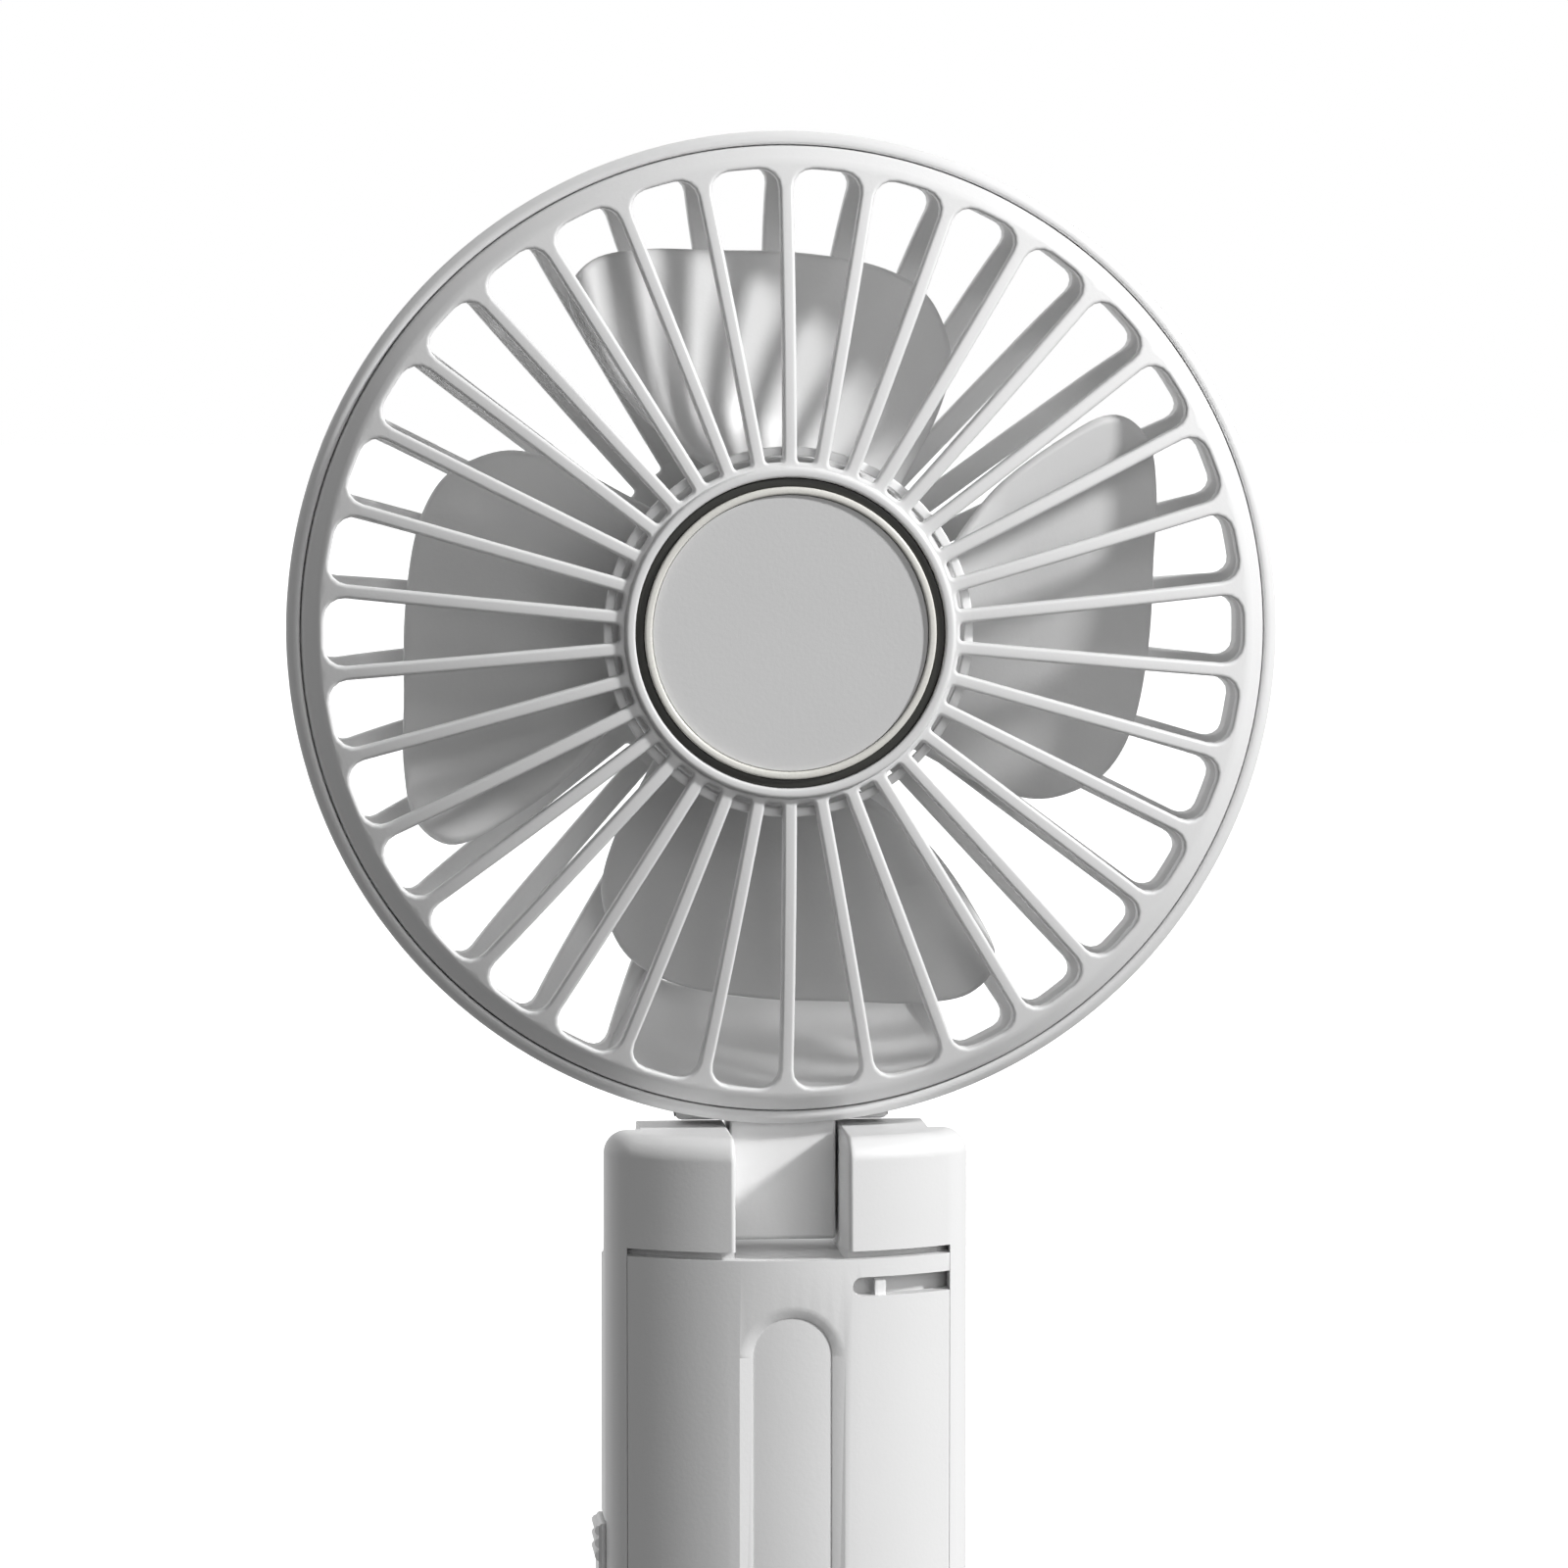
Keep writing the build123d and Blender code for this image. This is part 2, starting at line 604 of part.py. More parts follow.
def stator_core():
    core = ring(TUBE_R, 5.4, 2.6, 9.4)
    shoes = ring(9.0, 10.2, 2.6, 9.4)
    for tooth in range(TEETH):
        turn = tooth * 360 / TEETH
        core += around_axis(tooth_blank(1.1, 5.0, 9.4, 2.6, 9.4), turn)
        shoes -= around_axis(tooth_blank(0.6, 8.0, 11.0, 2.0, 10.0), turn + 180 / TEETH)
    return core + shoes


def stator_coils():
    coils = []
    for tooth in range(TEETH):
        coil = tooth_blank(2.2, 5.9, 8.6, 1.6, 10.4)
        coil = fillet(coil.edges().filter_by(Axis.Z), 0.4)
        coil -= tooth_blank(1.1, 5.0, 9.4, 2.6, 9.4)
        coils.append(around_axis(coil, tooth * 360 / TEETH))
    return Compound(children=coils)


def motor_board():
    return ring(TUBE_R + 0.1, 11.5, 12.4, 13.4)


def motor_screws():
    screws = []
    for x, z in motor_screw_places():
        screw = rod_y(1.3, 15.8, 16.8, x, HEAD_Z + z) + rod_y(0.7, 16.8, 19.4, x, HEAD_Z + z)
        screws.append(screw)
    return Compound(children=screws)


SUBPARTS = [
    handle_frame, front_cover, base_cap, base_screws, cover_screws, battery_cell, control_board,
    tactile_switch, slide_switch, usb_port, light_windows, power_button, side_slider,
    hinge_pin, hinge_caps, hinge_washers, rear_housing, front_grille, accent_ring, centre_bezel,
    centre_disc, impeller, rotor_can, magnet_ring, motor_shaft, shaft_clip, bearing_tube,
    bearing_bushes, stator_core, stator_coils, motor_board, motor_screws,
]

os.makedirs("parts", exist_ok=True)
for subpart in SUBPARTS:
    export_step(subpart(), f"parts/{subpart.__name__}.step")
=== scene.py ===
import bpy
import bmesh
import math
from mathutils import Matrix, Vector


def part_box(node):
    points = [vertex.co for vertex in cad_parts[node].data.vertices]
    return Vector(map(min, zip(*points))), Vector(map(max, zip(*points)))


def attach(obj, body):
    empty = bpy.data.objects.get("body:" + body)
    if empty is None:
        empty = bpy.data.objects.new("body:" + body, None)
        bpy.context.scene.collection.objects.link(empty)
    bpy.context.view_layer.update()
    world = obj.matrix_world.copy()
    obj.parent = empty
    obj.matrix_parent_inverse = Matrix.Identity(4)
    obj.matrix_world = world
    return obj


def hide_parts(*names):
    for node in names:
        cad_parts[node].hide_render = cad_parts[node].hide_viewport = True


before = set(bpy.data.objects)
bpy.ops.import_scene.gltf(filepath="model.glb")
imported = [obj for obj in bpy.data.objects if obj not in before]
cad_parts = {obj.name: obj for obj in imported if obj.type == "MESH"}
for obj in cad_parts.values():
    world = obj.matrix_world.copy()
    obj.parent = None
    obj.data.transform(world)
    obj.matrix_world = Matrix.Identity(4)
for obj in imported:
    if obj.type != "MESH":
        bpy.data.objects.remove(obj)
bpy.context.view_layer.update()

# A handheld electric fan.  The grilles, the middle pieces, the impeller and the neck are drawn
# afresh here; every other piece is the CAD mesh with materials and, outside, softened edges.
# Lengths below are millimetres; MM turns them into the frame's metres.
MM = 0.001

# ---------------------------------------------------------------- places read from the frame
grille_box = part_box("front_grille")
HEAD_Z = (grille_box[0].z + grille_box[1].z) / 2 / MM
GRILLE_R = (grille_box[1].x - grille_box[0].x) / 2 / MM
RIM_R = 49.45
RIBS = 34
PITCH = math.radians(360 / RIBS)


# ---------------------------------------------------------------- node materials

# Share by which a base colour drifts, and the scale of the patches it drifts in.
PLASTIC_DRIFT, PLASTIC_PATCHES = 0.012, 45
METAL_DRIFT, METAL_PATCHES = 0.06, 120
# Noise scale, bump distance in metres and spread of roughness of each finish.
GRAIN_SCALE, GRAIN_DEPTH, GRAIN_FLICKER = 2600, 0.000012, 0.05
STREAK_SCALE, STREAK_DEPTH, STREAK_FLICKER = 8.0, 0.00001, 0.08
PLASTIC_IOR = 1.49
COAT_ROUGHNESS = 0.2


def new_material(name):
    """Empty node material: (material, nodes, links, Principled shader)."""
    material = bpy.data.materials.new(name)
    material.use_nodes = True
    nodes = material.node_tree.nodes
    return material, nodes, material.node_tree.links, nodes["Principled BSDF"]


def mottled(nodes, links, shader, tone, spread, scale):
    """Base colour that drifts softly between two close tones."""
    place = nodes.new("ShaderNodeTexCoord")
    noise = nodes.new("ShaderNodeTexNoise")
    noise.inputs["Scale"].default_value = scale
    noise.inputs["Detail"].default_value = 3.0
    ramp = nodes.new("ShaderNodeValToRGB")
    ramp.color_ramp.elements[0].color = (*[c * (1 - spread) for c in tone], 1)
    ramp.color_ramp.elements[1].color = (*[min(1.0, c * (1 + spread)) for c in tone], 1)
    ramp.color_ramp.elements[0].position = 0.35
    ramp.color_ramp.elements[1].position = 0.65
    links.new(place.outputs["Object"], noise.inputs["Vector"])
    links.new(noise.outputs["Fac"], ramp.inputs["Fac"])
    links.new(ramp.outputs["Color"], shader.inputs["Base Color"])
    return place


def grained(nodes, links, shader, place, scale, depth, rough, rough_spread):
    """Fine moulded grain: a bump and a matching flicker of roughness."""
    grain = nodes.new("ShaderNodeTexNoise")
    grain.inputs["Scale"].default_value = scale
    grain.inputs["Detail"].default_value = 4.0
    bump = nodes.new("ShaderNodeBump")
    bump.inputs["Strength"].default_value = 1.0
    bump.inputs["Distance"].default_value = depth
    spread = nodes.new("ShaderNodeMapRange")
    spread.inputs["To Min"].default_value = rough - rough_spread
    spread.inputs["To Max"].default_value = rough + rough_spread
    links.new(place.outputs["Object"], grain.inputs["Vector"])
    links.new(grain.outputs["Fac"], bump.inputs["Height"])
    links.new(bump.outputs["Normal"], shader.inputs["Normal"])
    links.new(grain.outputs["Fac"], spread.inputs["Value"])
    links.new(spread.outputs["Result"], shader.inputs["Roughness"])


def plastic(name, tone, rough=0.42, coat=0.0):
    """Moulded plastic with a fine spark-eroded grain."""
    material, nodes, links, shader = new_material(name)
    place = mottled(nodes, links, shader, tone, PLASTIC_DRIFT, PLASTIC_PATCHES)
    grained(nodes, links, shader, place, GRAIN_SCALE, GRAIN_DEPTH, rough, GRAIN_FLICKER)
    shader.inputs["IOR"].default_value = PLASTIC_IOR
    shader.inputs["Coat Weight"].default_value = coat
    shader.inputs["Coat Roughness"].default_value = COAT_ROUGHNESS
    return material


def metal(name, tone, rough, streaks=(60, 60, 900)):
    """Turned or drawn metal with fine streaks."""
    material, nodes, links, shader = new_material(name)
    place = mottled(nodes, links, shader, tone, METAL_DRIFT, METAL_PATCHES)
    stretch = nodes.new("ShaderNodeMapping")
    stretch.inputs["Scale"].default_value = streaks
    lines = nodes.new("ShaderNodeTexNoise")
    lines.inputs["Scale"].default_value = STREAK_SCALE
    spread = nodes.new("ShaderNodeMapRange")
    spread.inputs["To Min"].default_value = rough - STREAK_FLICKER
    spread.inputs["To Max"].default_value = rough + STREAK_FLICKER
    bump = nodes.new("ShaderNodeBump")
    bump.inputs["Distance"].default_value = STREAK_DEPTH
    links.new(place.outputs["Object"], stretch.inputs["Vector"])
    links.new(stretch.outputs["Vector"], lines.inputs["Vector"])
    links.new(lines.outputs["Fac"], spread.inputs["Value"])
    links.new(spread.outputs["Result"], shader.inputs["Roughness"])
    links.new(lines.outputs["Fac"], bump.inputs["Height"])
    links.new(bump.outputs["Normal"], shader.inputs["Normal"])
    shader.inputs["Metallic"].default_value = 1.0
    return material


SHELL = plastic("shell_plastic", (0.80, 0.80, 0.80))
BLADE = plastic("blade_plastic", (0.66, 0.66, 0.66), rough=0.36)
BEZEL = plastic("bezel_plastic", (0.82, 0.81, 0.76), rough=0.28, coat=0.3)
BADGE = plastic("badge_plate", (0.68, 0.68, 0.68), rough=0.55)
ACCENT = plastic("accent_plastic", (0.030, 0.030, 0.026), rough=0.45)
CONTROL = plastic("control_plastic", (0.78, 0.78, 0.78), rough=0.38)
LENS = plastic("lens_plastic", (0.85, 0.85, 0.82), rough=0.15, coat=0.6)
WASHER = plastic("washer_acetal", (0.70, 0.68, 0.62), rough=0.5)
SLEEVE = plastic("cell_sleeve", (0.05, 0.14, 0.30), rough=0.3, coat=0.4)
BOARD = plastic("solder_mask", (0.02, 0.16, 0.07), rough=0.3, coat=0.5)
DARK = plastic("dark_plastic", (0.02, 0.02, 0.02), rough=0.5)
STEEL = metal("plain_steel", (0.60, 0.60, 0.61), 0.30)
CAN = metal("plated_steel", (0.55, 0.55, 0.57), 0.38)
BRASS = metal("turned_brass", (0.68, 0.48, 0.22), 0.32)
WIRE = metal("enamelled_wire", (0.65, 0.26, 0.10), 0.35, streaks=(900, 60, 60))

NODE_MATERIALS = {
    SHELL: ["handle_frame", "front_cover", "base_cap", "hinge_caps", "rear_housing",
            "front_grille"],
    BLADE: ["impeller"],
    BEZEL: ["centre_bezel"],
    BADGE: ["centre_disc"],
    ACCENT: ["accent_ring"],
    CONTROL: ["power_button", "side_slider"],
    LENS: ["light_windows"],
    WASHER: ["hinge_washers"],
    SLEEVE: ["battery_cell"],
    BOARD: ["control_board", "motor_board"],
    DARK: ["tactile_switch", "slide_switch", "magnet_ring"],
    STEEL: ["base_screws", "cover_screws", "motor_screws", "shaft_clip", "hinge_pin",
            "motor_shaft", "usb_port"],
    CAN: ["rotor_can", "stator_core"],
    BRASS: ["bearing_tube", "bearing_bushes"],
    WIRE: ["stator_coils"],
}
for material, node_names in NODE_MATERIALS.items():
    for node_name in node_names:
        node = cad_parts[node_name]
        node.data.materials.clear()
        node.data.materials.append(material)


# ---------------------------------------------------------------- mesh helpers

LATHE_TURNS = 256
SOFTEN_ANGLE = math.radians(28)
SOFTEN_SEGMENTS = 3
WELD_REACH = 0.002 * MM
ROUND_STEPS = 3


def piece(name, points, faces, material, body, replaced):
    """Mesh object from millimetre points that stands for CAD nodes and rides on their body."""
    mesh = bpy.data.meshes.new(name)
    mesh.from_pydata([Vector(p) * MM for p in points], [], faces)
    tidy = bmesh.new()
    tidy.from_mesh(mesh)
    bmesh.ops.recalc_face_normals(tidy, faces=tidy.faces)
    tidy.to_mesh(mesh)
    tidy.free()
    mesh.shade_smooth()
    mesh.materials.append(material)
    thing = bpy.data.objects.new(name, mesh)
    bpy.context.scene.collection.objects.link(thing)
    weigh_normals(thing)
    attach(thing, body)
    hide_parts(*replaced)


def weigh_normals(thing):
    """Keeps flat faces flat and leaves the rounding to the small edge faces."""
    keep = thing.modifiers.new("flat_faces", "WEIGHTED_NORMAL")
    keep.keep_sharp = True


def soften(node_name, width):
    """Rounds the sharp edges of a CAD node a little, as moulded plastic is."""
    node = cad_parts[node_name]
    weld = node.modifiers.new("join_faces", "WELD")
    weld.merge_threshold = WELD_REACH
    edge = node.modifiers.new("round_edges", "BEVEL")
    edge.width = width * MM
    edge.segments = SOFTEN_SEGMENTS
    edge.limit_method = "ANGLE"
    edge.angle_limit = SOFTEN_ANGLE
    edge.use_clamp_overlap = True
    edge.harden_normals = False
    weigh_normals(node)


def rounded(points, radius, steps=4):
    """Open polyline with its inner corners rounded off."""
    line = [Vector(p) for p in points]
    result = [line[0]]
    for before, corner, after in zip(line, line[1:], line[2:]):
        reach = min(radius, (before - corner).length * 0.45, (after - corner).length * 0.45)
        start = corner + (before - corner).normalized() * reach
        end = corner + (after - corner).normalized() * reach
        for step in range(steps + 1):
            t = step / steps
            result.append(start * (1 - t) ** 2 + corner * 2 * t * (1 - t) + end * t ** 2)
    result.append(line[-1])
    return result


def lathe(profile):
    """Points and faces of a closed profile of (radius, y), turned about the fan's axis."""
    points, faces = [], []
    rows = len(profile)
    for turn in range(LATHE_TURNS):
        angle = 2 * math.pi * turn / LATHE_TURNS
        for r, y in profile:
            points.append((r * math.sin(angle), y, HEAD_Z + r * math.cos(angle)))
    for turn in range(LATHE_TURNS):
        here, there = turn * rows, (turn + 1) % LATHE_TURNS * rows
        for row in range(rows):
            after = (row + 1) % rows
            faces.append((here + row, here + after, there + after, there + row))
    return points, faces


def circle_arc(start, middle, end):
    """y as a function of radius along the circle through three (radius, y) points."""
    (ax, ay), (bx, by), (cx, cy) = start, middle, end
    d = 2 * (ax * (by - cy) + bx * (cy - ay) + cx * (ay - by))
    a2, b2, c2 = ax * ax + ay * ay, bx * bx + by * by, cx * cx + cy * cy
    ux = (a2 * (by - cy) + b2 * (cy - ay) + c2 * (ay - by)) / d
    uy = (a2 * (cx - bx) + b2 * (ax - cx) + c2 * (bx - ax)) / d
    radius = math.hypot(ax - ux, ay - uy)
    side = 1 if by > uy else -1

    def height(r):
        return uy + side * math.sqrt(max(0.0, radius ** 2 - (r - ux) ** 2))
    return height


# ---------------------------------------------------------------- grilles

ARC_STEPS = 4
EDGE_STATIONS = 22
INNER_END_STEPS, OUTER_END_STEPS = 2, 3
# Radius of the hole in the middle plate of either grille.
PLATE_HOLE = 2.0


def half_slot(rib_w, r_in, r_out, c_in, c_out):
    """Right half of a slot's outline, from its inner middle to its outer middle."""
    half = PITCH / 2
    along = Vector((math.sin(half), math.cos(half)))
    inward = Vector((-math.cos(half), math.sin(half)))

    def corner(distance, c):
        lift = rib_w / 2 + c
        return along * math.sqrt(distance ** 2 - lift ** 2) + inward * lift

    near, far = corner(r_in + c_in, c_in), corner(r_out - c_out, c_out)
    near_touch = near - inward * c_in
    far_touch = far - inward * c_out
    near_end = near.normalized() * r_in
    far_end = far.normalized() * r_out

    def bend(centre, radius, first, last):
        a = math.atan2(*(first - centre).yx)
        b = math.atan2(*(last - centre).yx)
        b += 2 * math.pi * round((a - b) / (2 * math.pi))
        sweep = [a + (b - a) * i / ARC_STEPS for i in range(ARC_STEPS + 1)]
        return [centre + Vector((math.cos(t), math.sin(t))) * radius for t in sweep]

    def on_circle(radius, towards, steps):
        reach = math.atan2(towards.x, towards.y)
        return [Vector((math.sin(reach * i / steps), math.cos(reach * i / steps))) * radius
                for i in range(steps)]

    path = on_circle(r_in, near_end, INNER_END_STEPS)
    path += bend(near, c_in, near_end, near_touch)[:-1]
    first_edge = len(path)
    for station in range(EDGE_STATIONS + 1):
        path.append(near_touch.lerp(far_touch, station / EDGE_STATIONS))
    last_edge = len(path) - 1
    path += bend(far, c_out, far_touch, far_end)[1:]
    path += list(reversed(on_circle(r_out, far_end, OUTER_END_STEPS)))
    return path, first_edge, last_edge


def turn_flat(point, angle):
    """Front-view point turned clockwise about the fan's axis."""
    return Vector((point.x * math.cos(angle) + point.y * math.sin(angle),
                   point.y * math.cos(angle) - point.x * math.sin(angle)))


def caged(front, back, rib_w, r_in, reach, corners, rounding, hub, rim, rows=5):
    """Domed plate with radial slots and rounded slot edges.

    front(r) and back(r) give its two faces, reach(i) the outer end of slot i.  hub and rim are
    closing profiles of (radius, y) that run from the front face round to the back face.
    """
    points, faces = [], []
    turns = [math.pi / 2 * i / ROUND_STEPS for i in range(ROUND_STEPS + 1)]
    layers = [(rounding * (1 - math.sin(t)), front, rounding * (1 - math.cos(t)))
              for t in turns]
    layers += [(rounding * (1 - math.sin(t)), back, -rounding * (1 - math.cos(t)))
               for t in reversed(turns)]

    def add(flat, y):
        points.append((flat.x, y, HEAD_Z + flat.y))
        return len(points) - 1

    outlines = []
    for i in range(RIBS):
        loops = []
        for grow, surface, dip in layers:
            path, first, last = half_slot(rib_w - 2 * grow, r_in - grow, reach(i) + grow,
                                          corners[0] + grow, corners[1] + grow)
            mirror = [Vector((-p.x, p.y)) for p in path]
            loop = [add(turn_flat(p, PITCH * (i + 0.5)), surface(p.length) + dip)
                    for p in path + list(reversed(mirror[1:-1]))]
            loops.append(loop)
        outlines.append(loops)
        for upper, lower in zip(loops, loops[1:]):
            count = len(upper)
            for k in range(count):
                n = (k + 1) % count
                faces.append((upper[k], upper[n], lower[n], lower[k]))
    length = len(path)

    def right(i, layer, j):
        return outlines[i % RIBS][layer][j]

    def left(i, layer, j):
        return outlines[i % RIBS][layer][j if j in (0, length - 1) else 2 * length - 2 - j]

    def columns(layer, inner):
        found = []
        for i in range(RIBS):
            if inner:
                found += [left(i, layer, j) for j in range(first, 0, -1)]
                found += [right(i, layer, j) for j in range(0, first + 1)]
            else:
                found += [left(i, layer, j) for j in range(last, length - 1)]
                found += [right(i, layer, j) for j in range(length - 1, last - 1, -1)]
        return found

    def skirt(edge, radius, surface):
        """Rows from a run of slot ends to a circle; gives back the circle's points."""
        angles, spans = [], []
        for index in edge:
            x, _, z = points[index]
            angles.append(math.atan2(x, z - HEAD_Z))
            spans.append(math.hypot(x, z - HEAD_Z))
        ring = edge
        for row in range(1, rows + 1):
            share = row / rows
            fresh = []
            for angle, span in zip(angles, spans):
                r = span + (radius - span) * share
                fresh.append(add(Vector((math.sin(angle), math.cos(angle))) * r, surface(r)))
            stitch(ring, fresh)
            ring = fresh
        return ring, angles

    def stitch(one, two):
        for k in range(len(one)):
            n = (k + 1) % len(one)
            faces.append((one[k], one[n], two[n], two[k]))

    for inner, profile in ((True, hub), (False, rim)):
        ring, angles = skirt(columns(0, inner), profile[0][0], front)
        for r, y in profile[1:-1]:
            fresh = [add(Vector((math.sin(a), math.cos(a))) * r, y) for a in angles]
            stitch(ring, fresh)
            ring = fresh
        back_ring, _ = skirt(columns(len(layers) - 1, inner), profile[-1][0], back)
        stitch(ring, back_ring)

    for layer in (0, len(layers) - 1):
        for i in range(RIBS):
            for j in range(first, last):
                faces.append((right(i, layer, j), right(i, layer, j + 1),
                              left(i + 1, layer, j + 1), left(i + 1, layer, j)))
    return points, faces


def front_cage():
    """Front grille: slightly domed ribs between the hub ring and the rim."""
    front = circle_arc((16.5, -8.9), (32.0, -7.3), (45.9, -3.9))
    back = circle_arc((16.5, -6.7), (31.6, -5.1), (45.2, -1.8))
    hub = rounded([(16.35, front(16.35)), (16.2, -9.6), (15.3, -9.6), (15.3, -7.0),
                   (PLATE_HOLE, -7.0), (PLATE_HOLE, -5.6), (16.2, -5.6), (16.2, back(16.2))],
                  0.28, 3)
    rim = rounded([(46.15, front(46.15)), (46.6, -3.55), (47.9, -2.35), (GRILLE_R, -1.6),
                   (GRILLE_R, 0.8), (46.9, 0.8), (46.7, -0.6), (46.2, back(46.2))], 0.35, 3)
    points, faces = caged(front, back, rib_w=1.35, r_in=16.8, reach=lambda i: 45.7,
                          corners=(0.4, 1.9), rounding=0.34, hub=hub, rim=rim)
    piece("front_cage", points, faces, SHELL, "head", ["front_grille"])


def hub_back_ring():
    """Thin ring behind the front ribs, just outside the hub."""
    profile = rounded([(17.4, -6.5), (17.4, -6.9), (18.3, -6.9), (18.3, -6.0), (17.4, -6.0),
                       (17.4, -6.45)], 0.2)
    points, faces = lathe(profile)
    piece("hub_back_ring", points, faces, SHELL, "head", ["front_grille"])


def rear_cage():
    """Rear bowl with its slots; the ones above the neck stop short at the pad."""
    bend_out, bend_in = (38.3, 14.0), (37.5, 12.4)
    plate_back, plate_front, plate_r = 20.0, 18.2, 18.1
    full_reach, pad_reach = 46.2, 38.0
    steep_out = circle_arc((RIM_R, 0.4), (45.7, 8.7), bend_out)
    flat_out = circle_arc(bend_out, (29.5, 17.2), (20.0, plate_back))
    steep_in = circle_arc((47.2, 1.0), (43.9, 8.2), bend_in)
    flat_in = circle_arc(bend_in, (29.0, 15.5), (19.6, plate_front))

    def outside(r):
        return steep_out(r) if r > bend_out[0] else min(plate_back, flat_out(r))

    def inside(r):
        return steep_in(r) if r > bend_in[0] else min(plate_front, flat_in(r))

    def reach(i):
        return pad_reach if abs(i - RIBS / 2 + 0.5) < 2 else full_reach

    hub = [(plate_r, plate_front), (PLATE_HOLE, plate_front), (PLATE_HOLE, plate_back),
           (plate_r, plate_back)]
    rim = rounded([(46.75, inside(46.75)), (47.2, 1.0), (48.1, 1.0), (48.1, -1.9), (48.7, -1.9),
                   (RIM_R, -1.2), (RIM_R, 0.4), (49.0, outside(49.0)), (48.5, outside(48.5)),
                   (47.7, outside(47.7)), (46.9, outside(46.9))], 0.3, 3)
    points, faces = caged(inside, outside, rib_w=2.2, r_in=19.0, reach=reach,
                          corners=(0.45, 1.5), rounding=0.4, hub=hub, rim=rim, rows=8)
    piece("rear_cage", points, faces, SHELL, "head", ["rear_housing"])


# ---------------------------------------------------------------- small turned pieces

def turned_pieces():
    """Accent ring, bezel and blank disc in the middle of the grille."""
    accent = rounded([(14.4, -8.0), (14.4, -9.2), (15.25, -9.2), (15.25, -7.0), (14.4, -7.0),
                      (14.4, -7.9)], 0.15)
    bezel = rounded([(13.65, -9.0), (13.65, -9.7), (14.4, -9.7), (14.4, -7.0), (12.6, -7.0),
                     (12.6, -8.2), (13.65, -8.2), (13.65, -8.9)], 0.25)
    disc = rounded([(0.02, -9.3), (13.6, -9.3), (13.6, -8.25), (0.02, -8.25)], 0.12)
    for name, profile, material, slot in (("accent_ring", accent, ACCENT, "accent"),
                                          ("centre_bezel", bezel, BEZEL, "bezel"),
                                          ("centre_disc", disc, BADGE, "badge")):
        points, faces = lathe(profile)
        piece(name + "_turned", points, faces, material, "head", [name])


# ---------------------------------------------------------------- impeller

HUB_OUT = 17.3
BLADES = 4
BLADE_T = 1.3
BLADE_SPAN = 24
# y of a blade's two edges at the hub, and how much nearer they come at the tip.
BLADE_FRONT, BLADE_BACK, BLADE_UNTWIST = -2.6, 10.4, 2.2
BLADE_CAMBER = 0.10
RIM_POINTS = 150
KNOT_STEPS = 12
LIP_STEPS = 4


def leading_angle(r):
    """Degrees from the top at which a blade begins, at a radius."""
    return 56 + 0.142 * max(0, 26 - r) ** 2


def trailing_angle(r):
    """Degrees from the top at which a blade ends, at a radius."""
    return 134 - 0.0624 * max(0, r - 19.5) ** 2


def blade_height(r, degrees):
    """Depth of the twisted blade sheet under a point of its front view."""
    along = (degrees - leading_angle(r)) / (trailing_angle(r) - leading_angle(r))
    untwist = BLADE_UNTWIST * ((r - HUB_OUT) / BLADE_SPAN)
    forward, back = BLADE_FRONT + untwist, BLADE_BACK - untwist
    camber = BLADE_CAMBER * math.sin(math.pi * max(0.0, min(1.0, along)))
    return forward + (back - forward) * (along + camber)


def blade_rim(count):
    """Front view of a blade as evenly spaced (x, z) points on a closed smooth curve."""
    shape = [(16.4, 69), (20.5, 60.8), (26, 56.1), (33, 55.6), (39.2, 57.0), (41.3, 62.5),
             (40.2, 70), (38.3, 80), (37.6, 92), (37.6, 104), (37.1, 112.3), (35.3, 118),
             (31.9, 123.8), (26.5, 127.8), (20, 131.2), (16.4, 134)]
    knots = [Vector((r * math.sin(math.radians(a)), r * math.cos(math.radians(a))))
             for r, a in shape]
    fine = []
    total = len(knots)
    for k in range(total):
        p0, p1, p2, p3 = (knots[(k + s) % total] for s in (-1, 0, 1, 2))
        # The root is straight: neither of its ends pulls the curve beyond it.
        if k in (total - 1, 0, total - 2):
            p0, p3 = (p1 if k in (0, total - 1) else p0), (p2 if k >= total - 2 else p3)
        for step in range(KNOT_STEPS):
            t = step / KNOT_STEPS
            fine.append(0.5 * (2 * p1 + (p2 - p0) * t + (2 * p0 - 5 * p1 + 4 * p2 - p3) * t ** 2
                               + (3 * p1 - p0 - 3 * p2 + p3) * t ** 3))
    lengths = [(fine[(k + 1) % len(fine)] - fine[k]).length for k in range(len(fine))]
    whole = sum(lengths)
    result, walked, k = [], 0.0, 0
    for step in range(count):
        goal = whole * step / count
        while walked + lengths[k] < goal:
            walked += lengths[k]
            k += 1
        result.append(fine[k].lerp(fine[(k + 1) % len(fine)], (goal - walked) / lengths[k]))
    return result


def sheet_point(flat, lift):
    """Point on the blade's sheet, moved along the sheet's normal."""
    def deep(x, z):
        return blade_height(math.hypot(x, z), math.degrees(math.atan2(x, z)))

    step = 0.05
    y = deep(flat.x, flat.y)
    dx = (deep(flat.x + step, flat.y) - y) / step
    dz = (deep(flat.x, flat.y + step) - y) / step
    normal = Vector((-dx, 1, -dz)).normalized()
    return Vector((flat.x, y, flat.y)) + normal * lift


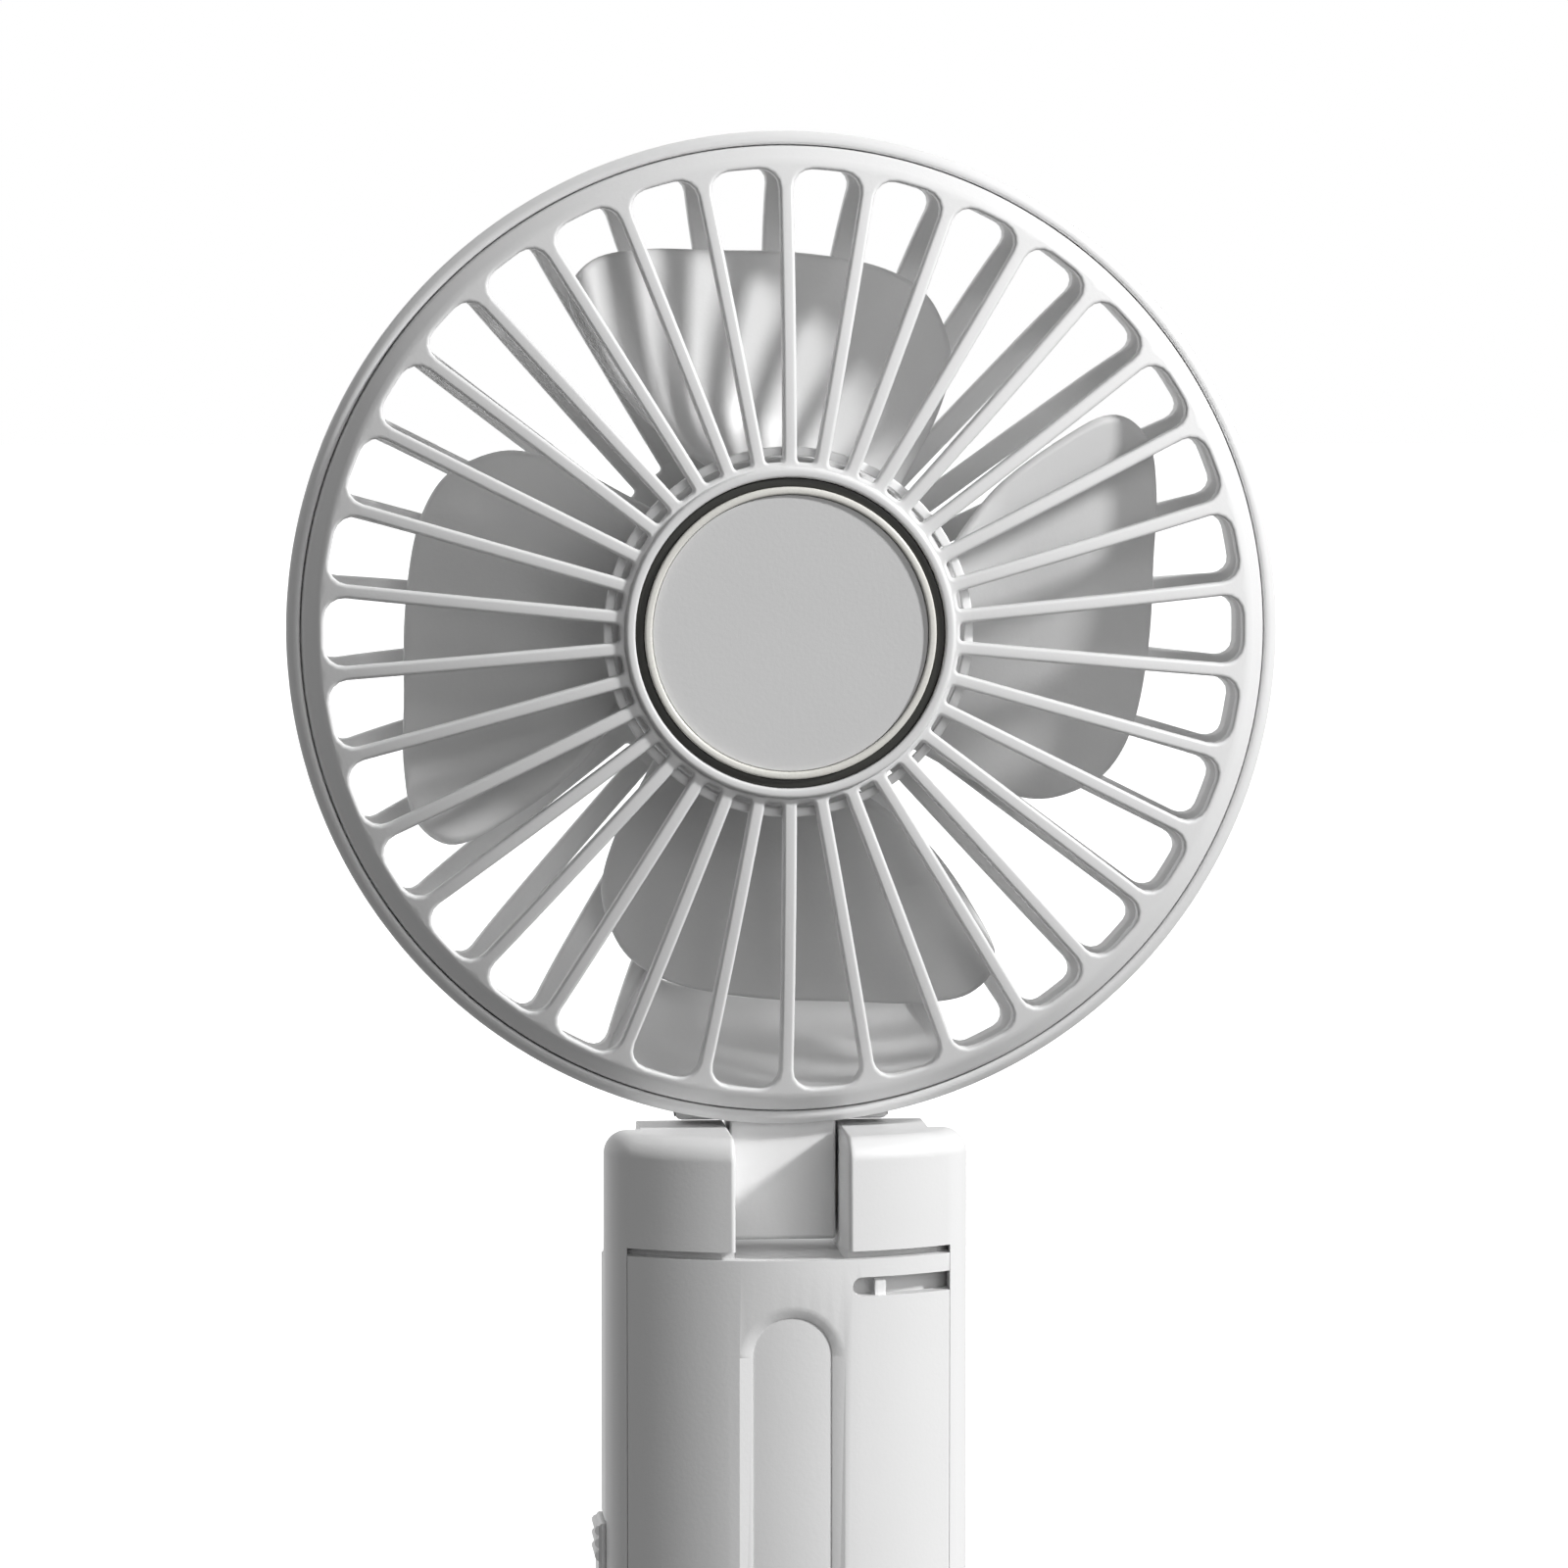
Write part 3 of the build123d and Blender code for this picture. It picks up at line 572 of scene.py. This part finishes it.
def blades():
    """Four twisted blades with rounded edges; rows of points shrink towards the middle."""
    rim = blade_rim(RIM_POINTS)
    middle = sum(rim, Vector((0, 0))) / len(rim)
    shares = [0.04, 0.2, 0.36, 0.52, 0.68, 0.82, 0.92]
    lip = 0.5 * BLADE_T
    width = sum((p - middle).length for p in rim) / len(rim)
    turns = [math.pi / 2 * step / LIP_STEPS for step in range(LIP_STEPS + 1)]
    lifts = [lip] * len(shares) + [lip * math.cos(t) for t in turns]
    shares += [1 - lip / width * (1 - math.sin(t)) for t in turns]
    upper = list(zip(shares, lifts))
    rows = upper + [(s, -h) for s, h in reversed(upper[:-1])]
    points, faces = [], []
    for turn in range(BLADES):
        base = len(points)
        for share, lift in rows:
            for p in rim:
                spot = sheet_point(middle.lerp(p, share), lift)
                flat = turn_flat(Vector((spot.x, spot.z)), 2 * math.pi / BLADES * turn)
                points.append((flat.x, spot.y, HEAD_Z + flat.y))
        count = len(rim)
        for row in range(len(rows) - 1):
            for k in range(count):
                n = (k + 1) % count
                a = base + row * count
                faces.append((a + k, a + n, a + count + n, a + count + k))
        faces.append(tuple(base + k for k in range(count)))
        faces.append(tuple(base + (len(rows) - 1) * count + k for k in range(count)))
    piece("blades", points, faces, BLADE, "impeller", ["impeller"])


def impeller_hub():
    """Cup of the impeller, with the wall inside it that holds the rotor can."""
    profile = rounded([(2.0, -4.2), (HUB_OUT, -4.2), (HUB_OUT, 12.0), (15.8, 12.0), (15.8, -2.4),
                       (14.0, -2.4), (14.0, 8.0), (12.5, 8.0), (12.5, -2.4), (2.0, -2.4)], 0.9)
    points, faces = lathe(profile)
    piece("impeller_hub", points, faces, BLADE, "impeller", ["impeller"])


# ---------------------------------------------------------------- neck

def rounded_bar(outline, half, rounding):
    """Prism along X from a closed (y, z) outline, with its two end faces' edges rounded."""
    count = len(outline)
    middle = sum((Vector(p) for p in outline), Vector((0, 0))) / count

    def shrunk(by):
        result = []
        for k in range(count):
            p = Vector(outline[k])
            tangent = (Vector(outline[(k + 1) % count]) - Vector(outline[k - 1])).normalized()
            normal = Vector((tangent.y, -tangent.x))
            if normal.dot(p - middle) < 0:
                normal = -normal
            result.append(p - normal * by)
        return result

    rows = []
    for side in (-1, 1):
        layers = []
        for step in range(ROUND_STEPS + 1):
            t = math.pi / 2 * step / ROUND_STEPS
            layers.append((side * (half - rounding * (1 - math.sin(t))),
                           rounding * (1 - math.cos(t))))
        rows += layers if side > 0 else list(reversed(layers))
    points = [(x, p.x, p.y) for x, by in rows for p in shrunk(by)]
    faces = []
    for row in range(len(rows) - 1):
        for k in range(count):
            n = (k + 1) % count
            a = row * count
            faces.append((a + k, a + n, a + count + n, a + count + k))
    faces.append(tuple(range(count)))
    faces.append(tuple(range((len(rows) - 1) * count, len(rows) * count)))
    return points, faces


def closed_round(points, radius, steps=4):
    """Closed outline with rounded corners."""
    line = points[-1:] + points + points[:1]
    return rounded(line, radius, steps)[1:-1]


HINGE_Y, HINGE_Z = 5.2, 103.8
KNUCKLE_R = 5.0
NECK_HALF, TONGUE_HALF = 10.8, 5.3


def neck():
    """Block under the head and the tongue whose knuckle turns on the hinge pin."""
    side = [(1.7, 110.4), (10.2, 110.4), (13.2, 115.5), (14.2, 121.5), (12.8, 121.9),
            (10.9, 118.0), (8.2, 115.0), (2.4, 112.0)]
    points, faces = rounded_bar(closed_round(side, 0.8), NECK_HALF, 0.8)
    piece("neck_block", points, faces, SHELL, "head", ["rear_housing"])
    knuckle = [(HINGE_Y + KNUCKLE_R * math.cos(math.radians(a)),
                HINGE_Z + KNUCKLE_R * math.sin(math.radians(a))) for a in range(-80, 1, 10)]
    side = [(0.2, 110.8), (0.2, 98.5), (HINGE_Y, 98.5)] + knuckle
    side += [(10.2, 112.0), (2.2, 112.0), (1.8, 110.8)]
    points, faces = rounded_bar(closed_round(side, 0.5, 2), TONGUE_HALF, 0.35)
    piece("hinge_tongue", points, faces, SHELL, "head", ["rear_housing"])


# ---------------------------------------------------------------- camera, lights, floor

# Degrees for the angles, millimetres for the range and the rise, metres for the clips.
CAMERA_AZIMUTH = -4.6
CAMERA_YAW = 4.607
CAMERA_RANGE = 651.0
CAMERA_RISE = 28.0
CAMERA_PITCH = 3.82
FOCAL_LENGTH, SENSOR_WIDTH = 150.0, 36.0
NEAR_CLIP, FAR_CLIP = 0.01, 50.0
# Metres.
LAMP_RANGE = 3.0
FLOOR_HALF = 12.0
# Strength in the middle, and what is added towards the right or upwards.
ROOM_LIGHT, ROOM_RIGHT, ROOM_UP = 0.085, 0.03, 0.03
BACKDROP_LIGHT, BACKDROP_RIGHT = 0.82, -0.44
BACKDROP_EDGE = 0.35


def add_camera():
    """Long lens a little to the left of the fan and above the head's centre."""
    azimuth, yaw, pitch = (math.radians(a) for a in (CAMERA_AZIMUTH, CAMERA_YAW, CAMERA_PITCH))
    lens = bpy.data.cameras.new("camera")
    lens.sensor_width = SENSOR_WIDTH
    lens.lens = FOCAL_LENGTH
    lens.clip_start, lens.clip_end = NEAR_CLIP, FAR_CLIP
    camera = bpy.data.objects.new("camera", lens)
    bpy.context.scene.collection.objects.link(camera)
    flat = Vector((math.sin(azimuth), -math.cos(azimuth), 0)) * CAMERA_RANGE
    camera.location = (flat + Vector((0, 0, HEAD_Z + CAMERA_RISE))) * MM
    look = Vector((math.sin(yaw) * math.cos(pitch), math.cos(yaw) * math.cos(pitch),
                   -math.sin(pitch)))
    camera.rotation_euler = look.to_track_quat("-Z", "Y").to_euler()
    bpy.context.scene.camera = camera


def add_lamp(name, watts, size, towards):
    """Softbox that shines on the head from the given direction."""
    light = bpy.data.lights.new(name, "AREA")
    light.energy = watts
    light.size = size
    lamp = bpy.data.objects.new(name, light)
    bpy.context.scene.collection.objects.link(lamp)
    target = Vector((0, 0, HEAD_Z * MM))
    lamp.location = target + Vector(towards).normalized() * LAMP_RANGE
    lamp.rotation_euler = (target - lamp.location).to_track_quat("-Z", "Y").to_euler()


def add_world():
    """White backdrop behind the fan, dimmer room in front that is darkest on the left."""
    world = bpy.data.worlds.new("studio")
    bpy.context.scene.world = world
    world.use_nodes = True
    nodes, links = world.node_tree.nodes, world.node_tree.links
    place = nodes.new("ShaderNodeTexCoord")
    split = nodes.new("ShaderNodeSeparateXYZ")
    links.new(place.outputs["Generated"], split.inputs["Vector"])

    def scaled(output, gain, offset):
        step = nodes.new("ShaderNodeMath")
        step.operation = "MULTIPLY_ADD"
        step.inputs[1].default_value = gain
        if isinstance(offset, float):
            step.inputs[2].default_value = offset
        else:
            links.new(offset, step.inputs[2])
        links.new(output, step.inputs[0])
        return step.outputs[0]

    room = scaled(split.outputs["Z"], ROOM_UP,
                  scaled(split.outputs["X"], ROOM_RIGHT, ROOM_LIGHT))
    behind = nodes.new("ShaderNodeMapRange")
    behind.interpolation_type = "SMOOTHSTEP"
    behind.inputs["From Min"].default_value = 0.0
    behind.inputs["From Max"].default_value = BACKDROP_EDGE
    links.new(split.outputs["Y"], behind.inputs["Value"])
    backdrop = nodes.new("ShaderNodeMath")
    backdrop.operation = "MULTIPLY"
    links.new(behind.outputs["Result"], backdrop.inputs[0])
    links.new(scaled(split.outputs["X"], BACKDROP_RIGHT, BACKDROP_LIGHT), backdrop.inputs[1])
    strongest = nodes.new("ShaderNodeMath")
    strongest.operation = "MAXIMUM"
    links.new(room, strongest.inputs[0])
    links.new(backdrop.outputs[0], strongest.inputs[1])
    fill = nodes["Background"]
    fill.inputs["Color"].default_value = (1, 1, 1, 1)
    links.new(strongest.outputs[0], fill.inputs["Strength"])
    white = nodes.new("ShaderNodeBackground")
    white.inputs["Color"].default_value = (1, 1, 1, 1)
    white.inputs["Strength"].default_value = 1.0
    path = nodes.new("ShaderNodeLightPath")
    mix = nodes.new("ShaderNodeMixShader")
    links.new(path.outputs["Is Camera Ray"], mix.inputs["Fac"])
    links.new(fill.outputs["Background"], mix.inputs[1])
    links.new(white.outputs["Background"], mix.inputs[2])
    links.new(mix.outputs["Shader"], nodes["World Output"].inputs["Surface"])


def add_floor():
    """Pale floor that throws no light back up at the fan."""
    points = [(x * FLOOR_HALF, y * FLOOR_HALF, 0)
              for x, y in ((-1, -1), (1, -1), (1, 1), (-1, 1))]
    mesh = bpy.data.meshes.new("floor")
    mesh.from_pydata(points, [], [(0, 1, 2, 3)])
    floor = bpy.data.objects.new("floor", mesh)
    bpy.context.scene.collection.objects.link(floor)
    material, nodes, links, shader = new_material("pale_paper")
    place = mottled(nodes, links, shader, (0.90, 0.90, 0.90), 0.004, 3)
    grained(nodes, links, shader, place, 400, 0.00002, 0.9, 0.03)
    shader.inputs["Emission Color"].default_value = (1, 1, 1, 1)
    shader.inputs["Emission Strength"].default_value = 1.0
    shader.inputs["Specular IOR Level"].default_value = 0.1
    mesh.materials.append(material)
    floor.visible_diffuse = False
    floor.visible_glossy = False


# Radius in millimetres to which each CAD node's sharp edges are rounded.
SOFTENED = {"handle_frame": 0.35, "front_cover": 0.3, "base_cap": 0.25, "side_slider": 0.12,
            "power_button": 0.1}

front_cage()
hub_back_ring()
rear_cage()
turned_pieces()
blades()
impeller_hub()
neck()
for softened_name, edge_width in SOFTENED.items():
    soften(softened_name, edge_width)
add_camera()
add_lamp("key", 93.0, 0.30, (0.76, -0.42, 0.51))
add_lamp("fill", 24.0, 1.6, (0.30, -0.90, 0.26))
add_world()
add_floor()
bpy.context.scene.view_settings.view_transform = "Standard"
